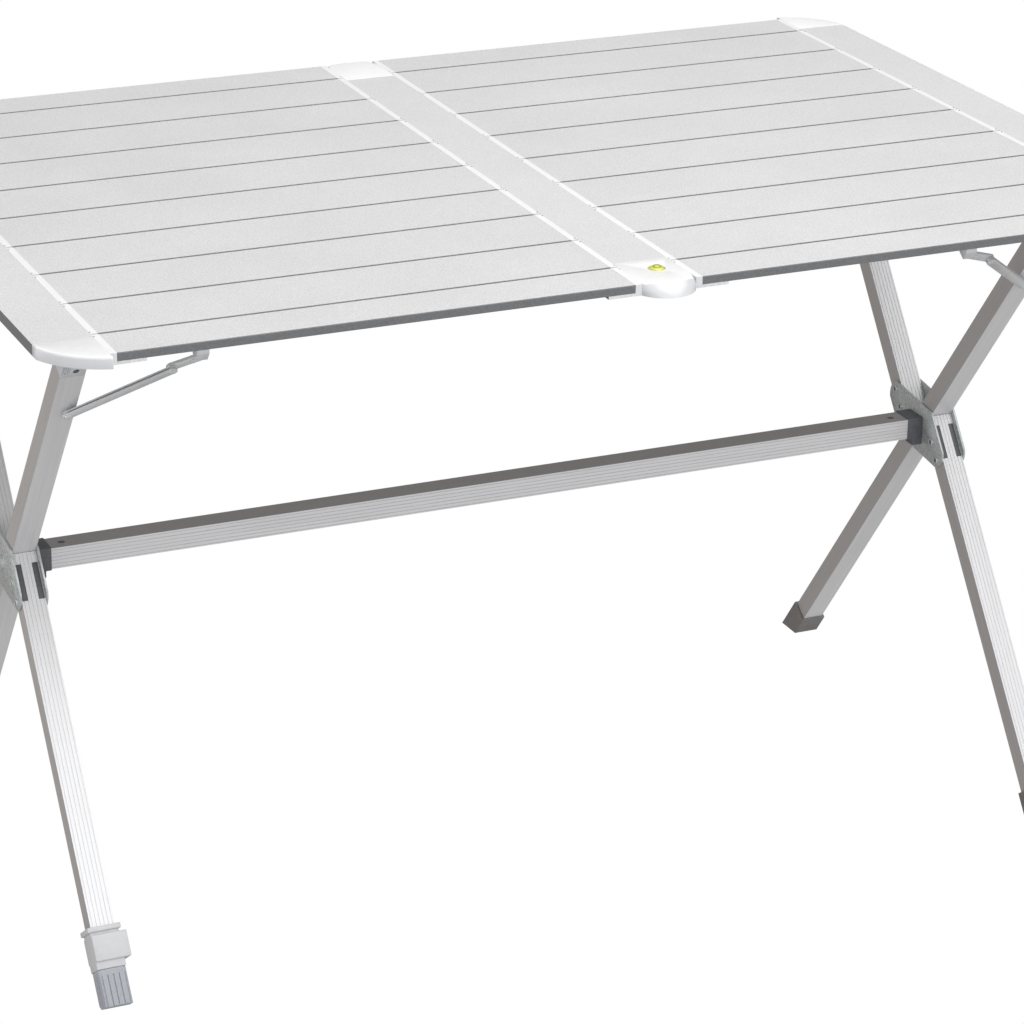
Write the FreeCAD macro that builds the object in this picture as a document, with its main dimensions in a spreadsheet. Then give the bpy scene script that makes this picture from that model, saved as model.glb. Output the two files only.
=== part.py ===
"""Folding table with a slatted top on two scissor frames, built as separate named pieces.

The frame is in millimetres: X runs along the table, Y from front to back, Z up from the floor.
Each X frame turns about its hub. The straight leg hangs on a pin at the front of its channel and
the split leg's head slides back and forth in the same channel.
"""
import os
import re

import FreeCAD
import Part
import Sketcher

SLATS = 10
FLUTES = 6

SIZES = {
    "table_h": 720, "hub_z": 360, "leg_angle": 36.66,
    "slat_len": 503, "slat_pitch": 88, "slat_gap": 2.2, "end_slat_w": 54, "slat_t": 8,
    "slat_wall": 1.3, "slat_bevel": 0.7, "tongue_t": 2.2,
    "strip_w": 6.5, "strip_base": 4, "notch_r": 1.5, "notch_off": 6,
    "rail_w": 56, "lip_w": 34, "lip_t": 3, "rail_wall": 1.8,
    "centre_cap_len": 65, "cap_bulge": 18, "corner_cap_len": 48, "corner_cap_out": 10,
    "corner_cut": 38, "corner_bulge": 9, "cap_round": 2.5, "bulge_round": 7,
    "vial_r": 7.2, "ring_wall": 1.5, "level_depth": 5, "level_y": 37, "level_x": 5,
    "frame_in": 11.5, "frame_shift": 5.5, "leg_w": 24.6, "leg_t": 21.8, "leg_wall": 1.5,
    "flute_w": 1.1, "flute_d": 0.45,
    "split_off": 23, "stop_gap": 0.4, "run_gap": 0.05, "side_gap": 0.35,
    "plug_len": 74, "plug_in": 30, "head_len": 34, "neck": 9, "head_flat": 0.6, "screw_r": 2.6,
    "boss_r": 6, "boss_t": 1.2, "boss_x": 1.5,
    "screw_drop": 63.5, "web_t": 2, "flange_t": 2, "flange_h": 14, "ear_drop": 14, "ear_len": 30,
    "end_wall": 3, "pin_r": 4,
    "plate_t": 2, "plate_half": 40, "plate_side": 46, "plate_tip": 56, "plate_in": 17,
    "tip_bulge": 5, "bolt_r": 4, "bolt_head_r": 7.5,
    "bolt_head_t": 3, "rivet_r": 2.4, "rivet_head_r": 4.2, "rivet_head_t": 1.4,
    "rivet_near": 28, "rivet_far": 49,
    "slot_w": 6.2, "slot_len": 38, "slot_start": 13, "slot_x": 8.6, "insert_t": 3,
    "beam_y": 27, "beam_z": 22.5, "beam_wall": 1.6, "beam_lift": 1, "beam_hole_r": 4,
    "beam_hole_in": 15, "joint_len": 18, "joint_over": 1.2, "joint_in": 26, "tab_drop": 7,
    "tab_w": 12, "foot_h": 34, "foot_over": 6, "foot_wall": 2.6,
    "shoe_h": 40, "shoe_wall": 2.2, "shoe_rib": 1.1, "stem_gap": 0.35, "stem_len": 95,
    "travel": 45, "toe_lift": 3, "collar_h": 42, "collar_wall": 2.4, "collar_flange": 2.2,
    "collar_flange_t": 5,
    "clamp_in": 9, "clamp_h": 26, "clamp_t": 3,
    "stay_drop": 133.5, "stay_x": 4, "stay_gap": 1.8, "stay_len": 120, "stay_turn": 44.4,
    "stay_tilt": 9, "stay_w": 9.6,
    "stay_d": 4, "stay_wall": 1.2, "stay_rivet_r": 3.2, "link_w": 10, "link_t": 3, "link_turn": 68,
    "link_len": 30, "eye_r": 8, "eye_w": 12, "bracket_y": 30, "rivet_dome": 1.2,
    "bracket_base": 2, "bracket_ear": 2.5,
}

# The leg frames keep their place under the ends of the slats.
TIED = {"frame_x": "=rail_w / 2 + strip_w + slat_len - frame_in + frame_shift"}

doc = FreeCAD.newDocument("folding_table")
sheet = doc.addObject("Spreadsheet::Sheet", "dims")
for row, (alias, value) in enumerate({**SIZES, **TIED}.items(), 1):
    sheet.set(f"A{row}", alias)
    sheet.set(f"B{row}", str(value))
    sheet.setAlias(f"B{row}", alias)
doc.recompute()

WORDS = re.compile(r"\b(" + "|".join(sorted({**SIZES, **TIED}, key=len, reverse=True)) + r")\b")
NODES = []


def ex(text):
    """Turn words for sizes into references to the sheet."""
    return WORDS.sub(r"dims.\1", str(text))


def num(text):
    """Value of an expression in the sheet's words."""
    value = sheet.evalExpression(ex(text))
    return float(getattr(value, "Value", value))


# Heights, lengths and angles that several pieces share.
RAIL_T = "(slat_t + lip_t)"
RAIL_Z = f"(table_h - {RAIL_T})"
DEPTH = f"({SLATS / 2 - 1} * slat_pitch + end_slat_w)"
SLAT_X = "(rail_w / 2 + strip_w)"
END_X = f"({SLAT_X} + slat_len)"
RAIL_X = f"({END_X} + strip_w)"
HEAD_R = "(leg_t / 2)"
AXIS_Z = f"({RAIL_Z} - web_t - stop_gap - {HEAD_R})"
ARM = f"(({AXIS_Z} - hub_z) / cos(leg_angle))"
SCREW_UP = f"({ARM} - screw_drop)"
STAY_UP = f"({ARM} - stay_drop)"
AXIS_Y = f"(-({AXIS_Z} - hub_z) * tan(leg_angle))"
FOOT_A = "(-hub_z / cos(leg_angle))"
FOOT_B = "(-(hub_z + split_off * sin(leg_angle)) / cos(leg_angle))"
CORE_W = "(leg_w - 2 * leg_wall)"
CORE_T = "(leg_t - 2 * leg_wall)"
PLATE_X = "(leg_w / 2 + side_gap)"
HUB_IN = f"(frame_x - {PLATE_X} - plate_t)"
FRAMES = {"world": ("0", "0"), "A": ("leg_angle", "hub_z"), "B": ("-leg_angle", "hub_z")}
ALONG_X = "rotation(vector(0; 1; 0); 90)"
TO_FRONT = "rotation(vector(1; 0; 0); 90)"


def place(obj, x, y, z, frame="world", turn=None, inner=None):
    """Put an object at x, y, z of a frame; leg frames have Z up the leg from the hub.

    turn is a rotation in that frame, and inner a further placement within the turned frame.
    """
    angle, base = FRAMES[frame]
    by = f"(({y}) * cos({angle}) - ({z}) * sin({angle}))"
    bz = f"({base} + ({y}) * sin({angle}) + ({z}) * cos({angle}))"
    spin = f"rotation(vector(1; 0; 0); {angle})"
    if turn:
        spin = f"{spin} * {turn}"
    where = f"placement(vector({x}; {by}; {bz}); {spin})"
    if inner:
        where = f"{where} * {inner}"
    obj.setExpression("Placement", ex(where))
    return obj


def made(kind, label, sizes):
    obj = doc.addObject(kind, label)
    obj.Label = label
    for prop, text in sizes.items():
        obj.setExpression(prop, ex(text))
    return obj


def box(label, size, corner, frame="world", turn=None, inner=None):
    """Box of three sizes with its low corner at a point of a frame."""
    obj = made("Part::Box", label, dict(zip(("Length", "Width", "Height"), size)))
    return place(obj, *corner, frame, turn, inner)


def cbox(label, size, middle, frame="world"):
    """Box centred in X and Y of its frame, with its low Z face at the given height."""
    x, y, z = middle
    return box(label, size, (f"({x}) - ({size[0]}) / 2", f"({y}) - ({size[1]}) / 2", z), frame)


def rod(label, radius, length, start, frame="world", turn=None, inner=None):
    """Cylinder from a start point along Z of its frame, or along its turned axis."""
    obj = made("Part::Cylinder", label, {"Radius": radius, "Height": length})
    return place(obj, *start, frame, turn, inner)


def xrod(label, radius, length, start, frame="world"):
    """Cylinder along X; a leg frame only moves its start point."""
    return rod(label, radius, length, start, frame, ALONG_X)


def fuse(label, parts):
    obj = doc.addObject("Part::MultiFuse", label)
    obj.Label = label
    obj.Shapes = parts
    return obj


def cut(label, base, tools):
    tool = tools[0] if len(tools) == 1 else fuse(label + "_tools", tools)
    obj = doc.addObject("Part::Cut", label)
    obj.Label = label
    obj.Base = base
    obj.Tool = tool
    return obj


def node(obj):
    NODES.append(obj)
    return obj


def pair(label, right):
    """One node holding a right-hand piece and its left-hand copy."""
    return node(fuse(label, [right, twin(label + "_copy", right)]))


def mirror(label, source, normal):
    """Copy of a piece on the other side of the table's middle."""
    obj = doc.addObject("Part::Mirroring", label)
    obj.Label = label
    obj.Source = source
    obj.Normal = normal
    return obj


def twin(label, source):
    """Left-hand copy of a leg-frame piece, across the middle of the two frames."""
    obj = mirror(label, source, (1, 0, 0))
    obj.setExpression("Base.x", ex("frame_shift"))
    return obj


def body(label, plane, outlines, length, both=False):
    """Extruded body from closed outlines, each a list of corners or one (x, y, radius)."""
    part = doc.addObject("PartDesign::Body", label)
    part.Label = label
    sketch = doc.addObject("Sketcher::SketchObject", label + "_sketch")
    part.addObject(sketch)
    support = next(o for o in part.Origin.OriginFeatures if o.Role == plane)
    sketch.AttachmentSupport = [(support, "")]
    sketch.MapMode = "FlatFace"
    for outline in outlines:
        add_outline(sketch, outline)
    pad = doc.addObject("PartDesign::Pad", label + "_pad")
    part.addObject(pad)
    pad.Profile = sketch
    pad.setExpression("Length", ex(length))
    if both:
        pad.Midplane = True
    part.Tip = pad
    return part


def add_outline(sketch, corners):
    """Closed chain of lines; a corner with a third entry bulges the line that leaves it."""
    points = [FreeCAD.Vector(num(c[0]), num(c[1]), 0) for c in corners]
    first = sketch.GeometryCount
    count = len(corners)
    for i, corner in enumerate(corners):
        a, b = points[i], points[(i + 1) % count]
        if len(corner) > 2:
            side = (b - a).cross(FreeCAD.Vector(0, 0, 1)).normalize()
            middle = (a + b) / 2 + side * num(corner[2])
            sketch.addGeometry(Part.Arc(a, middle, b))
        else:
            sketch.addGeometry(Part.LineSegment(a, b))
    arcs = [i for i, corner in enumerate(corners) if len(corner) > 2]
    ends = {}
    for i in range(count):
        flip = i in arcs and (sketch.Geometry[first + i].StartPoint - points[i]).Length > 1e-6
        ends[i] = (2, 1) if flip else (1, 2)
    for i in range(count):
        j = (i + 1) % count
        sketch.addConstraint(Sketcher.Constraint(
            "Coincident", first + i, ends[i][1], first + j, ends[j][0]))
        for kind, text, value in (("DistanceX", corners[i][0], points[i].x),
                                  ("DistanceY", corners[i][1], points[i].y)):
            index = sketch.addConstraint(Sketcher.Constraint(
                kind, -1, 1, first + i, ends[i][0], value))
            sketch.setExpression(f"Constraints[{index}]", ex(text))
    for i in arcs:
        bulge, a, b = num(corners[i][2]), points[i], points[(i + 1) % count]
        half = (b - a).Length / 2
        chord = (f"(sqrt(pow(({corners[(i + 1) % count][0]}) - ({corners[i][0]}); 2) +"
                 f" pow(({corners[(i + 1) % count][1]}) - ({corners[i][1]}); 2)) / 2)")
        index = sketch.addConstraint(Sketcher.Constraint(
            "Radius", first + i, (half * half + bulge * bulge) / (2 * bulge)))
        sketch.setExpression(f"Constraints[{index}]", ex(
            f"(pow({chord}; 2) + pow({corners[i][2]}; 2)) / (2 * ({corners[i][2]}))"))


def rect(w, h, cx="0", cy="0"):
    return [(f"({cx}) + {sx} * ({w}) / 2", f"({cy}) + {sy} * ({h}) / 2")
            for sx, sy in ((-1, -1), (1, -1), (1, 1), (-1, 1))]


def fluted(w, h, horizontal=True, side=-1):
    """Rectangle with fine flutes cut along its low side, or along its high or left side."""
    corners = []
    for i in range(FLUTES):
        mid = f"(({w}) * {(i + 0.5) / FLUTES - 0.5})"
        for du, dv in ((-0.5, 0), (-0.3, 1), (0.3, 1), (0.5, 0)):
            corners.append((f"{mid} + {du} * flute_w", f"{side} * (({h}) / 2 - {dv} * flute_d)"))
    outline = ([(f"-({w}) / 2", f"{side} * ({h}) / 2")] + corners
               + [(f"({w}) / 2", f"{side} * ({h}) / 2"), (f"({w}) / 2", f"-({side}) * ({h}) / 2"),
                  (f"-({w}) / 2", f"-({side}) * ({h}) / 2")])
    if horizontal:
        return outline
    return [(v, u) for u, v in outline]


def rounded(part, radius, picks):
    """Fillet the edges of a body's tip that the test picks, by their middle point."""
    doc.recompute()
    tip = part.Tip
    names = [f"Edge{i}" for i, edge in enumerate(tip.Shape.Edges, 1)
             if picks(edge, edge.valueAt((edge.FirstParameter + edge.LastParameter) / 2))]
    fillet = doc.addObject("PartDesign::Fillet", part.Label + "_round")
    part.addObject(fillet)
    fillet.Base = (tip, names)
    fillet.setExpression("Radius", ex(radius))
    part.Tip = fillet
    return part


def slat_rows():
    """Middle and width of each slat across the table."""
    for i in range(SLATS):
        if i == 0:
            yield "-(" + DEPTH + ") + (end_slat_w - slat_gap / 2) / 2", "end_slat_w - slat_gap / 2"
        elif i == SLATS - 1:
            yield DEPTH + " - (end_slat_w - slat_gap / 2) / 2", "end_slat_w - slat_gap / 2"
        else:
            yield f"{i - SLATS / 2 + 0.5} * slat_pitch", "slat_pitch - slat_gap"


def build_slats():
    """Hollow slats, each with a tongue that closes the gap to the next one from below."""
    for side, start in (("left", f"-{END_X}"), ("right", SLAT_X)):
        for i, (middle, width) in enumerate(slat_rows(), 1):
            w, b = f"({width})", "slat_bevel"
            outer = [(f"-{w} / 2", "-slat_t"), (f"{w} / 2", "-slat_t"), (f"{w} / 2", f"-{b}"),
                     (f"{w} / 2 - {b}", "0"), (f"-{w} / 2 + {b}", "0"), (f"-{w} / 2", f"-{b}")]
            if i < SLATS:
                outer[1:2] = [(f"{w} / 2 + slat_gap", "-slat_t"),
                              (f"{w} / 2 + slat_gap", "tongue_t - slat_t"),
                              (f"{w} / 2", "tongue_t - slat_t")]
            core = rect(f"{w} - 2 * slat_wall", "slat_t - 2 * slat_wall", "0", "-slat_t / 2")
            slat = body(f"slat_{side}_{i:02d}", "YZ_Plane", [outer, core], "slat_len")
            node(place(slat, start, middle, "table_h"))


def build_strips():
    """Plastic end strips, slit between the slats and notched on their rail side."""
    lines = (("left_outer", f"-{RAIL_X}", 0), ("left_inner", f"-{SLAT_X}", 1),
             ("right_inner", "rail_w / 2", 0), ("right_outer", END_X, 1))
    for name, start, side in lines:
        base = box(f"strip_{name}_bar", ("strip_w", f"2 * {DEPTH}", "slat_t"),
                   (start, f"-{DEPTH}", "table_h - slat_t"))
        rail_side = f"{start} + {side} * strip_w"
        tools = []
        for i in range(1, SLATS):
            gap = f"{i - SLATS / 2} * slat_pitch"
            tools.append(box(f"strip_{name}_slit{i}", ("strip_w", "slat_gap", "slat_t"),
                             (start, f"{gap} - slat_gap / 2", "table_h - slat_t + strip_base")))
            for sign in (-1, 1):
                tools.append(rod(f"strip_{name}_notch{i}_{sign + 1}", "notch_r", "slat_t",
                                 (rail_side, f"{gap} + {sign} * notch_off",
                                  "table_h - slat_t + strip_base")))
        node(cut(f"end_strip_{name}", base, tools))


def build_rails():
    """Hollow rails with thin lips under the slat ends, cut back where the caps sit."""
    for name, x, lips, cap in (("left", f"-{RAIL_X} - rail_w / 2", (1,), "corner_cap_len"),
                               ("centre", "0", (-1, 1), "centre_cap_len"),
                               ("right", f"{RAIL_X} + rail_w / 2", (-1,), "corner_cap_len")):
        low, high = f"-{RAIL_T}", f"-{RAIL_T} + lip_t"
        outer = []
        for sign, order in ((-1, 1), (1, -1)):
            edge = f"{sign} * rail_w / 2"
            run = [(edge, "0")]
            if sign in lips:
                run += [(edge, high), (f"{sign} * (rail_w / 2 + lip_w)", high),
                        (f"{sign} * (rail_w / 2 + lip_w)", low)]
            else:
                run += [(edge, low)]
            outer += run[::order]
        core = rect("rail_w - 2 * rail_wall", f"{RAIL_T} - 2 * rail_wall", "0", f"-{RAIL_T} / 2")
        rail = place(body(f"rail_{name}_bar", "XZ_Plane", [outer, core], f"2 * {DEPTH}", True),
                     x, "0", "table_h")
        seats = [box(f"rail_{name}_seat{i}", ("rail_w", cap, RAIL_T),
                     (f"{x} - rail_w / 2", y, RAIL_Z))
                 for i, y in enumerate((f"-{DEPTH}", f"{DEPTH} - {cap}"))]
        node(cut(f"rail_{name}", rail, seats))


def build_caps():
    """Moulded rail ends: slanted corner caps and bulged centre caps with a bubble level."""
    half, front = "rail_w / 2", f"-{DEPTH}"
    corner = [(f"-{half}", f"{front} + corner_cap_len"),
              (f"-{half}", f"{front} + corner_cut", "corner_bulge"),
              (half, f"{front} - corner_cap_out"), (half, f"{front} + corner_cap_len")]
    outer = body("corner_cap_front_left", "XY_Plane", [corner], RAIL_T)
    top, edge_x, edge_y = num(RAIL_T), num(half), num(f"{front} + corner_cap_len")
    rounded(outer, "cap_round", lambda edge, mid: abs(mid.z - top) < 0.01
            and mid.x < edge_x - 0.01 and mid.y < edge_y - 0.01)
    node(place(outer, f"-{RAIL_X} - {half}", "0", RAIL_Z))
    node(mirror("corner_cap_front_right", outer, (1, 0, 0)))
    back = node(mirror("corner_cap_back_left", outer, (0, 1, 0)))
    node(mirror("corner_cap_back_right", back, (1, 0, 0)))

    centre = [(f"-{half}", f"{front} + centre_cap_len"), (f"-{half}", front, "cap_bulge"),
              (half, front), (half, f"{front} + centre_cap_len")]
    plain = body("centre_cap_plain", "XY_Plane", [centre], RAIL_T)
    rim = num(front)
    rounded(plain, "bulge_round", lambda edge, mid: abs(mid.z - top) < 0.01
            and mid.y < rim - 0.01)
    place(plain, "0", "0", RAIL_Z)
    node(mirror("centre_cap_back", plain, (0, 1, 0)))
    seat = ("level_x", f"{front} + level_y", "table_h - level_depth")
    ring_r = "(vial_r + ring_wall)"
    node(cut("centre_cap_front", plain, [rod("level_seat", ring_r, "level_depth", seat)]))
    node(cut("level_ring", rod("ring_disc", ring_r, "level_depth", seat),
             [rod("ring_bore", "vial_r", "level_depth", seat)]))
    node(rod("level_vial", "vial_r", "level_depth", seat))


def build_channels():
    """Channels under the end rails, with the front hinge ears and pin and a rear end wall."""
    wide = f"({PLATE_X} + flange_t)"
    front = f"({AXIS_Y} - ear_len / 2)"
    wall = f"(-{AXIS_Y} + {HEAD_R} + stop_gap)"
    under = f"({RAIL_Z} - web_t)"
    length = f"{wall} + end_wall - {front}"
    left_x = f"frame_x - {wide}"
    parts = [box("channel_web", (f"2 * {wide}", length, "web_t"), (left_x, front, under)),
             box("channel_end", (f"2 * {wide}", "end_wall", "flange_h"),
                 (left_x, wall, f"{under} - flange_h")),
             xrod("hinge_pin", "pin_r", f"2 * {wide}", (left_x, AXIS_Y, AXIS_Z))]
    for name, x in (("inner", left_x), ("outer", f"frame_x + {PLATE_X}")):
        parts.append(box(f"channel_side_{name}", ("flange_t", length, "flange_h"),
                         (x, front, f"{under} - flange_h")))
        parts.append(box(f"hinge_ear_{name}", ("flange_t", "ear_len",
                                               f"{under} - {AXIS_Z} + ear_drop"),
                         (x, front, f"{AXIS_Z} - ear_drop")))
    right = node(fuse("leg_channel_right", parts))
    node(twin("leg_channel_left", right))


def foot_cap(name, frame, y, foot):
    """Plastic foot around a tube end, cut level with the floor."""
    wide, deep = "leg_w + 2 * foot_wall", "leg_t + 2 * foot_wall"
    block = cbox(f"{name}_block", (f"({wide})", f"({deep})", "2 * foot_h + foot_over"),
                 ("frame_x", y, f"{foot} - foot_h"), frame)
    button = rod(f"{name}_rivet", "rivet_r", "rivet_dome",
                 ("frame_x", f"{y} - ({deep}) / 2", f"{foot} + 0.7 * foot_h"), frame, TO_FRONT)
    pocket = cbox(f"{name}_pocket", ("leg_w", "leg_t", "foot_h + foot_over"),
                  ("frame_x", y, f"{foot} + foot_h"), frame)
    floor = box(f"{name}_floor", ("4 * leg_w", "table_h", "2 * foot_h"),
                ("frame_x - 2 * leg_w", "-table_h / 2", "-2 * foot_h"))
    return cut(name, fuse(f"{name}_solid", [block, button]), [pocket, floor])


def build_straight_legs():
    """Front-top to back-bottom legs with their hinge plugs, rear feet and stays."""
    top = f"({ARM} - plug_len)"
    section = [fluted("leg_w", "leg_t", side=1), rect(CORE_W, CORE_T)]
    tube = body("straight_tube", "XY_Plane", section, f"{top} - {FOOT_A} - foot_h")
    place(tube, "frame_x", "0", f"{FOOT_A} + foot_h", "A")
    bore = xrod("hub_bore", "bolt_r + run_gap", "2 * leg_w", ("frame_x - leg_w", "0", "0"), "A")
    leg = node(cut("straight_leg_right", tube, [bore]))
    node(twin("straight_leg_left", leg))

    face, boss_at = "-leg_t / 2", "frame_x - boss_x"
    solid = fuse("plug_solid", [
        cbox("plug_tenon", (CORE_W, CORE_T, "plug_in"), ("frame_x", "0", f"{top} - plug_in"), "A"),
        cbox("plug_block", ("leg_w", "leg_t", "plug_len"), ("frame_x", "0", top), "A"),
        xrod("plug_head", HEAD_R, "leg_w", ("frame_x - leg_w / 2", "0", ARM), "A"),
        rod("plug_boss", "boss_r", "boss_t", (boss_at, face, SCREW_UP), "A", TO_FRONT)])
    tools = [xrod("plug_bore", "pin_r + run_gap", "2 * leg_w", ("frame_x - leg_w", "0", ARM), "A"),
             rod("plug_screw_hole", "screw_r", "boss_t + screw_r",
                 (boss_at, f"{face} + screw_r", SCREW_UP), "A", TO_FRONT)]
    for i in range(3):
        tools.append(box(f"plug_groove_{i}", ("flute_w", "flute_w", "2 * boss_r"),
                         (f"{boss_at} + boss_r + {1 + 2 * i} * flute_w", face,
                          f"{SCREW_UP} - boss_r"), "A"))
    plug = node(cut("hinge_plug_right", solid, tools))
    node(twin("hinge_plug_left", plug))
    pair("rear_feet", foot_cap("rear_foot_right", "A", "0", FOOT_A))
    build_stays()


def build_stays():
    """Channel stay riveted to the straight leg, with an elbow link up to the hinge axis."""
    y0 = "(-leg_t / 2 - stay_gap)"
    turn = "rotation(vector(0; 1; 0); -stay_turn) * rotation(vector(1; 0; 0); stay_tilt)"
    at = ("frame_x - stay_x", y0, STAY_UP)

    def inner(x, y, z, spin="rotation(vector(1; 0; 0); 0)"):
        return f"placement(vector({x}; {y}; {z}); {spin})"

    bar = [box("stay_bar", ("stay_w", "stay_d", "stay_len"), at, "A", turn,
               inner("-stay_w / 2", "-stay_d", "0"))]
    bar += [rod(f"stay_end_{name}", "stay_w / 2", "stay_d", at, "A", turn,
                inner("0", "0", along, TO_FRONT)) for name, along in (("low", "0"),
                                                                      ("high", "stay_len"))]
    trough = box("stay_trough", ("stay_w", "stay_d - 2 * stay_wall", "stay_len + 2 * stay_w"),
                 at, "A", turn,
                 inner("-stay_w / 2 + stay_wall", "-stay_d + stay_wall", "-stay_w"))
    parts = [cut("stay_profile", fuse("stay_outer", bar), [trough]),
             rod("stay_leg_rivet", "stay_rivet_r", "stay_d + stay_gap + rivet_dome",
                 ("frame_x - stay_x", "-leg_t / 2", STAY_UP), "A", TO_FRONT),
             rod("stay_elbow_rivet", "stay_rivet_r", "stay_d + link_t + 2 * rivet_dome", at, "A",
                 turn, inner("0", "link_t + rivet_dome", "stay_len", TO_FRONT))]
    elbow_x = "(frame_x - stay_x - stay_len * sin(stay_turn) * cos(stay_tilt))"
    elbow_y = f"({y0} - stay_len * sin(stay_tilt))"
    elbow_t = f"({STAY_UP} + stay_len * cos(stay_turn) * cos(stay_tilt))"
    elbow, lean = (elbow_x, elbow_y, elbow_t), "rotation(vector(0; 1; 0); -link_turn)"
    parts.append(box("stay_link", ("link_w", "link_t", "link_len"), elbow, "A", lean,
                     inner("-link_w / 2", "0", "0")))
    for name, along in (("low", "0"), ("high", "link_len")):
        parts.append(rod(f"stay_link_{name}", "link_w / 2", "link_t", elbow, "A", lean,
                         inner("0", "link_t", along, TO_FRONT)))
    parts.append(rod("stay_link_rivet", "stay_rivet_r", "link_t + 2 * rivet_dome", elbow, "A", lean,
                     inner("0", "link_t + rivet_dome", "0.7 * link_len", TO_FRONT)))
    eye_x = f"({elbow_x} - link_len * sin(link_turn) - eye_w / 2)"
    foot_t = f"({elbow_t} + link_len * cos(link_turn))"
    riser = body("stay_riser", "YZ_Plane", [[
        (elbow_y, f"{foot_t} - link_w / 2"), (f"{elbow_y} + link_w", f"{foot_t} - link_w / 2"),
        ("eye_r", ARM), ("-eye_r", ARM), (elbow_y, f"{foot_t} + link_w / 2")]], "eye_w")
    parts += [place(riser, eye_x, "0", "0", "A"),
              xrod("stay_eye", "eye_r", "eye_w", (eye_x, "0", ARM), "A")]
    bore = xrod("stay_bore", "pin_r + run_gap", "3 * eye_w", (f"{eye_x} - eye_w", "0", ARM), "A")
    stay = node(cut("stay_right", fuse("stay_solid", parts), [bore]))
    node(twin("stay_left", stay))

    reach = "(eye_w + 2 * side_gap + 2 * bracket_ear)"
    low_x = f"({eye_x} - side_gap - bracket_ear)"
    plate_z = "(table_h - slat_t - bracket_base)"
    ear = ("bracket_ear", "bracket_y", f"{plate_z} - {AXIS_Z} + eye_r")
    pair("stay_brackets", fuse("bracket_right", [
        box("bracket_plate", (f"{reach} + 2 * bracket_base", "bracket_y", "bracket_base"),
            (f"{low_x} - bracket_base", f"{AXIS_Y} - bracket_y / 2", plate_z)),
        box("bracket_ear_in", ear, (low_x, f"{AXIS_Y} - bracket_y / 2", f"{AXIS_Z} - eye_r")),
        box("bracket_ear_out", ear, (f"{low_x} + {reach} - bracket_ear",
                                     f"{AXIS_Y} - bracket_y / 2", f"{AXIS_Z} - eye_r")),
        xrod("bracket_pin", "pin_r", reach, (low_x, AXIS_Y, AXIS_Z))]))


def build_split_legs():
    """Back-top to front-bottom legs in two offset halves, their slide heads and inserts."""
    slab = cbox("stop_slab", ("4 * leg_w", "leg_t + 2 * stop_gap", "6 * leg_t"),
                ("frame_x", "0", "-3 * leg_t"), "A")
    section = [fluted("leg_w", "leg_t"), rect(CORE_W, CORE_T)]
    upper = place(body("upper_tube", "XY_Plane", section, f"{ARM} - head_len"),
                  "frame_x", "split_off", "0", "B")
    holes = {sign: [xrod(f"rivet_hole_{sign + 1}_{far}", "rivet_r", "2 * leg_w",
                         ("frame_x - leg_w", f"{sign} * split_off", f"{sign} * {far}"), "B")
                    for far in ("rivet_near", "rivet_far")] for sign in (-1, 1)}
    half = node(cut("split_leg_upper_right", upper, [slab] + holes[1]))
    node(twin("split_leg_upper_left", half))

    face = "(-split_off - leg_t / 2)"
    slots, inserts = [], []
    for i, sign in enumerate((-1, 1)):
        corner = (f"frame_x + {sign} * slot_x - slot_w / 2", face, "-slot_start - slot_len")
        slots.append(box(f"slot_{i}", ("slot_w", "leg_wall", "slot_len"), corner, "B"))
        inserts.append(box(f"insert_{i}", ("slot_w", "leg_wall - flute_d", "slot_len"),
                           (corner[0], f"{face} + flute_d", corner[2]), "B"))
    bridge = box("insert_bridge", ("2 * slot_x", "insert_t - leg_wall + flute_d", "slot_len"),
                 ("frame_x - slot_x", f"{face} + leg_wall", "-slot_start - slot_len"), "B")
    for side, foot_len in (("right", "foot_h"), ("left", "shoe_h")):
        lower = body(f"lower_tube_{side}", "XY_Plane", section, f"-{FOOT_B} - {foot_len}")
        place(lower, "frame_x", "-split_off", f"{FOOT_B} + {foot_len}", "B")
        half = cut(f"split_leg_lower_{side}", lower, [slab] + holes[-1] + slots)
        if side == "left":
            half.Label = "split_leg_lower_twin"
            half = twin("split_leg_lower_left", half)
        node(half)
    pair("slot_inserts", fuse("insert_right", inserts + [bridge]))

    low, near = f"({ARM} - head_len)", "(split_off - leg_t / 2)"
    head = body("head_shape", "YZ_Plane", [[
        (HEAD_R, ARM, f"{HEAD_R} - head_flat"), (f"-{HEAD_R}", ARM), (f"-{HEAD_R}", f"{ARM} - neck"),
        (near, low), (f"{near} + leg_t", low), (f"{near} + leg_t", f"{low} + neck")]], "leg_w")
    place(head, "frame_x - leg_w / 2", "0", "0", "B")
    tenon = cbox("head_tenon", (CORE_W, CORE_T, "plug_in"),
                 ("frame_x", "split_off", f"{low} - plug_in"), "B")
    head = node(fuse("slide_head_right", [head, tenon]))
    node(twin("slide_head_left", head))
    node(foot_cap("front_foot_right", "B", "-split_off", FOOT_B))


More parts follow.
